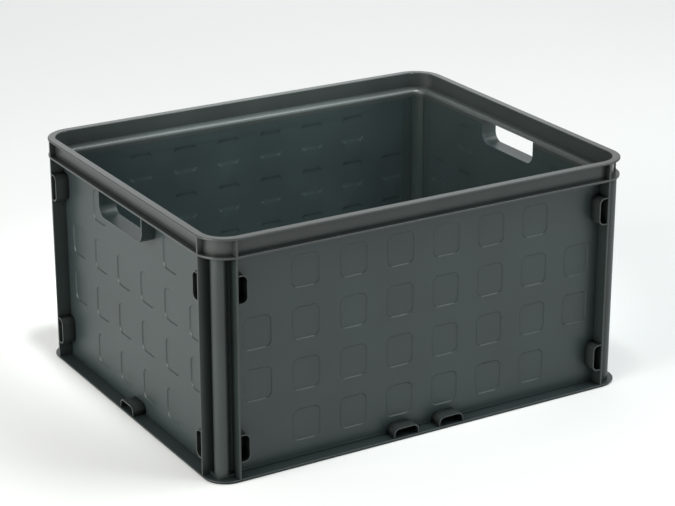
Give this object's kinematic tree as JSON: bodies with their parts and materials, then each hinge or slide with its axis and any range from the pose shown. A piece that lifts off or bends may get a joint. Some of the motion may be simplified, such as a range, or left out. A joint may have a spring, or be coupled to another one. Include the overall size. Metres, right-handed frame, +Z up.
{
  "type": "knock-down storage crate",
  "caption": "Open-topped knock-down storage crate: base tray, corner posts and dimpled wall panels held by a lift-off rim and push-in clips, with two hand openings.",
  "frame": {"origin": "middle of the footprint, on the floor", "axes": "+Z up, +X along the long walls, +Y from the front wall to the back wall"},
  "size_m": [0.546, 0.438, 0.28],
  "materials": {
    "base": "satin moulded polypropylene, anthracite",
    "posts": "satin moulded polypropylene, anthracite",
    "rim": "satin moulded polypropylene, anthracite, lighter along its rounded edges",
    "panels": "fine-grained moulded polypropylene, anthracite",
    "clips": "satin moulded polypropylene, anthracite"
  },
  "bodies": {
    "base_and_posts": {"base_tray": "base", "corner_post_front_left": "posts", "corner_post_front_right": "posts", "corner_post_back_right": "posts", "corner_post_back_left": "posts"},
    "rim_body": {"rim": "rim"},
    "front_wall": {"front_panel": "panels"},
    "right_wall": {"right_panel": "panels"},
    "back_wall": {"back_panel": "panels"},
    "left_wall": {"left_panel": "panels"},
    "front_clip_upper_a_body": {"front_clip_upper_a": "clips"},
    "front_clip_lower_a_body": {"front_clip_lower_a": "clips"},
    "front_clip_upper_b_body": {"front_clip_upper_b": "clips"},
    "front_clip_lower_b_body": {"front_clip_lower_b": "clips"},
    "front_clip_bottom_a_body": {"front_clip_bottom_a": "clips"},
    "front_clip_bottom_b_body": {"front_clip_bottom_b": "clips"},
    "right_clip_upper_a_body": {"right_clip_upper_a": "clips"},
    "right_clip_lower_a_body": {"right_clip_lower_a": "clips"},
    "right_clip_upper_b_body": {"right_clip_upper_b": "clips"},
    "right_clip_lower_b_body": {"right_clip_lower_b": "clips"},
    "right_clip_bottom_body": {"right_clip_bottom": "clips"},
    "back_clip_upper_a_body": {"back_clip_upper_a": "clips"},
    "back_clip_lower_a_body": {"back_clip_lower_a": "clips"},
    "back_clip_upper_b_body": {"back_clip_upper_b": "clips"},
    "back_clip_lower_b_body": {"back_clip_lower_b": "clips"},
    "back_clip_bottom_a_body": {"back_clip_bottom_a": "clips"},
    "back_clip_bottom_b_body": {"back_clip_bottom_b": "clips"},
    "left_clip_upper_a_body": {"left_clip_upper_a": "clips"},
    "left_clip_lower_a_body": {"left_clip_lower_a": "clips"},
    "left_clip_upper_b_body": {"left_clip_upper_b": "clips"},
    "left_clip_lower_b_body": {"left_clip_lower_b": "clips"},
    "left_clip_bottom_body": {"left_clip_bottom": "clips"}
  },
  "joints": [
    {"name": "rim_lift", "type": "slide", "parent": "base_and_posts", "child": "rim_body", "axis": [0, 0, 1], "range_m": [0, 0.12]},
    {"name": "front_panel_slide", "type": "slide", "parent": "base_and_posts", "child": "front_wall", "axis": [0, -1, 0], "range_m": [0, 0.1]},
    {"name": "right_panel_slide", "type": "slide", "parent": "base_and_posts", "child": "right_wall", "axis": [1, 0, 0], "range_m": [0, 0.1]},
    {"name": "back_panel_slide", "type": "slide", "parent": "base_and_posts", "child": "back_wall", "axis": [0, 1, 0], "range_m": [0, 0.1]},
    {"name": "left_panel_slide", "type": "slide", "parent": "base_and_posts", "child": "left_wall", "axis": [-1, 0, 0], "range_m": [0, 0.1]},
    {"name": "front_clip_upper_a_pull", "type": "slide", "parent": "front_wall", "child": "front_clip_upper_a_body", "axis": [0, -1, 0], "range_m": [0, 0.02]},
    {"name": "front_clip_lower_a_pull", "type": "slide", "parent": "front_wall", "child": "front_clip_lower_a_body", "axis": [0, -1, 0], "range_m": [0, 0.02]},
    {"name": "front_clip_upper_b_pull", "type": "slide", "parent": "front_wall", "child": "front_clip_upper_b_body", "axis": [0, -1, 0], "range_m": [0, 0.02]},
    {"name": "front_clip_lower_b_pull", "type": "slide", "parent": "front_wall", "child": "front_clip_lower_b_body", "axis": [0, -1, 0], "range_m": [0, 0.02]},
    {"name": "front_clip_bottom_a_pull", "type": "slide", "parent": "front_wall", "child": "front_clip_bottom_a_body", "axis": [0, -1, 0], "range_m": [0, 0.02]},
    {"name": "front_clip_bottom_b_pull", "type": "slide", "parent": "front_wall", "child": "front_clip_bottom_b_body", "axis": [0, -1, 0], "range_m": [0, 0.02]},
    {"name": "right_clip_upper_a_pull", "type": "slide", "parent": "right_wall", "child": "right_clip_upper_a_body", "axis": [1, 0, 0], "range_m": [0, 0.02]},
    {"name": "right_clip_lower_a_pull", "type": "slide", "parent": "right_wall", "child": "right_clip_lower_a_body", "axis": [1, 0, 0], "range_m": [0, 0.02]},
    {"name": "right_clip_upper_b_pull", "type": "slide", "parent": "right_wall", "child": "right_clip_upper_b_body", "axis": [1, 0, 0], "range_m": [0, 0.02]},
    {"name": "right_clip_lower_b_pull", "type": "slide", "parent": "right_wall", "child": "right_clip_lower_b_body", "axis": [1, 0, 0], "range_m": [0, 0.02]},
    {"name": "right_clip_bottom_pull", "type": "slide", "parent": "right_wall", "child": "right_clip_bottom_body", "axis": [1, 0, 0], "range_m": [0, 0.02]},
    {"name": "back_clip_upper_a_pull", "type": "slide", "parent": "back_wall", "child": "back_clip_upper_a_body", "axis": [0, 1, 0], "range_m": [0, 0.02]},
    {"name": "back_clip_lower_a_pull", "type": "slide", "parent": "back_wall", "child": "back_clip_lower_a_body", "axis": [0, 1, 0], "range_m": [0, 0.02]},
    {"name": "back_clip_upper_b_pull", "type": "slide", "parent": "back_wall", "child": "back_clip_upper_b_body", "axis": [0, 1, 0], "range_m": [0, 0.02]},
    {"name": "back_clip_lower_b_pull", "type": "slide", "parent": "back_wall", "child": "back_clip_lower_b_body", "axis": [0, 1, 0], "range_m": [0, 0.02]},
    {"name": "back_clip_bottom_a_pull", "type": "slide", "parent": "back_wall", "child": "back_clip_bottom_a_body", "axis": [0, 1, 0], "range_m": [0, 0.02]},
    {"name": "back_clip_bottom_b_pull", "type": "slide", "parent": "back_wall", "child": "back_clip_bottom_b_body", "axis": [0, 1, 0], "range_m": [0, 0.02]},
    {"name": "left_clip_upper_a_pull", "type": "slide", "parent": "left_wall", "child": "left_clip_upper_a_body", "axis": [-1, 0, 0], "range_m": [0, 0.02]},
    {"name": "left_clip_lower_a_pull", "type": "slide", "parent": "left_wall", "child": "left_clip_lower_a_body", "axis": [-1, 0, 0], "range_m": [0, 0.02]},
    {"name": "left_clip_upper_b_pull", "type": "slide", "parent": "left_wall", "child": "left_clip_upper_b_body", "axis": [-1, 0, 0], "range_m": [0, 0.02]},
    {"name": "left_clip_lower_b_pull", "type": "slide", "parent": "left_wall", "child": "left_clip_lower_b_body", "axis": [-1, 0, 0], "range_m": [0, 0.02]},
    {"name": "left_clip_bottom_pull", "type": "slide", "parent": "left_wall", "child": "left_clip_bottom_body", "axis": [-1, 0, 0], "range_m": [0, 0.02]}
  ]
}
